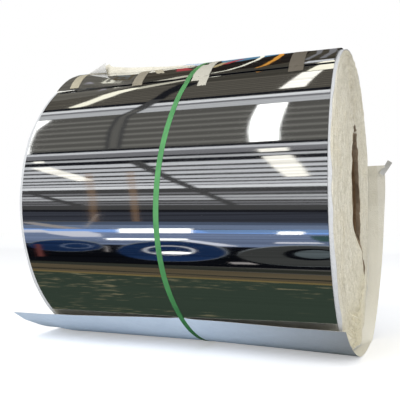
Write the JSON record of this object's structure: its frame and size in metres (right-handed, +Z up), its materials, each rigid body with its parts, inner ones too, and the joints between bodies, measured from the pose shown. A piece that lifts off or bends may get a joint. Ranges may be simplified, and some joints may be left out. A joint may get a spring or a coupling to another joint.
{
  "type": "stainless steel coil",
  "caption": "Mirror-finish stainless steel strip coil with paper interleaf, cardboard core, plastic strap, wrap sheet and masking tapes, lying on its side.",
  "frame": {"origin": "middle of the bore: on the coil's axis, half way along the strip's width", "axes": "+X along the coil's axis, +Z up as the coil lies on its side"},
  "size_m": [1.2964, 1.0445, 1.0665],
  "materials": {
    "steel": "bright annealed, mirror",
    "interleaf": "uncoated kraft, off-white",
    "core": "wound board, brown",
    "wrap": "coated outside, cream inside",
    "strap": "embossed, green",
    "tape": "creped masking tape"
  },
  "bodies": {
    "root": {"steel_coil": "steel", "interleaf_left": "interleaf", "interleaf_right": "interleaf", "core_tube": "core", "wrap_sheet": "wrap", "strap": "strap", "tape_left": "tape", "tape_middle": "tape", "tape_scrap": "tape", "tape_strap_side": "tape", "tape_strap_over": "tape", "tape_right": "tape"}
  },
  "joints": []
}
